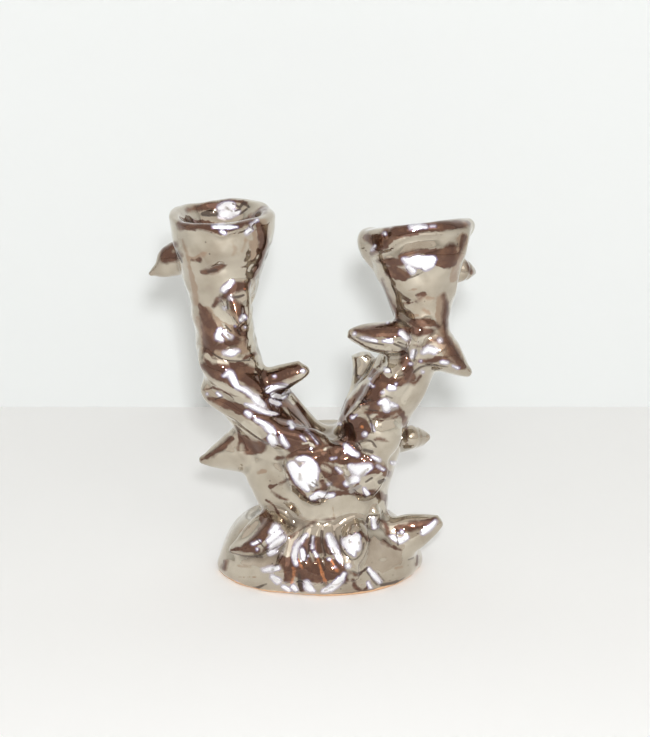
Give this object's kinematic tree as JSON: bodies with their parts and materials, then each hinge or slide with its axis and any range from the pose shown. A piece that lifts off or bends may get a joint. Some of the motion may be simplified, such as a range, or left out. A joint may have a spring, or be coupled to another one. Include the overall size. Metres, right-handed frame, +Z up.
{
  "type": "candle holder",
  "caption": "Hand-built glazed clay holder for taper candles: thorny branches fork from a trunk on an oval foot and end in flared sockets.",
  "frame": {"origin": "centre of the flat sole of the foot, on the table", "axes": "+Z up, +X to the viewer's right, towards the leaning cup, and +Y away from the viewer"},
  "size_m": [0.1258, 0.0626, 0.1477],
  "materials": {
    "lustre_glaze": "mirror-bright metallic brown to pewter lustre glaze",
    "bare_clay": "unglazed buff-orange clay at the sole, glazed above it"
  },
  "bodies": {
    "root": {"back_twig": "lustre_glaze", "foot_mound": "lustre_glaze", "foot_slab": "bare_clay", "left_branch": "lustre_glaze", "left_cup": "lustre_glaze", "left_strand_lower": "lustre_glaze", "left_strand_upper": "lustre_glaze", "right_branch": "lustre_glaze", "right_cup": "lustre_glaze", "right_knuckle": "lustre_glaze", "right_strand": "lustre_glaze", "root_lobe": "lustre_glaze", "root_pleat_1": "lustre_glaze", "root_pleat_2": "lustre_glaze", "root_pleat_3": "lustre_glaze", "root_pleat_4": "lustre_glaze", "root_pleat_5": "lustre_glaze", "saddle_coil": "lustre_glaze", "thorn_foot_left": "lustre_glaze", "thorn_foot_right": "lustre_glaze", "thorn_left_cup": "lustre_glaze", "thorn_left_front": "lustre_glaze", "thorn_left_inner": "lustre_glaze", "thorn_left_low": "lustre_glaze", "thorn_left_rear": "lustre_glaze", "thorn_right_back": "lustre_glaze", "thorn_right_cup": "lustre_glaze", "thorn_right_inner": "lustre_glaze", "thorn_right_outer": "lustre_glaze", "thorn_trunk_rear": "lustre_glaze", "tongue_left": "lustre_glaze", "tongue_right": "lustre_glaze", "trunk": "lustre_glaze", "trunk_nub": "lustre_glaze"}
  },
  "joints": []
}
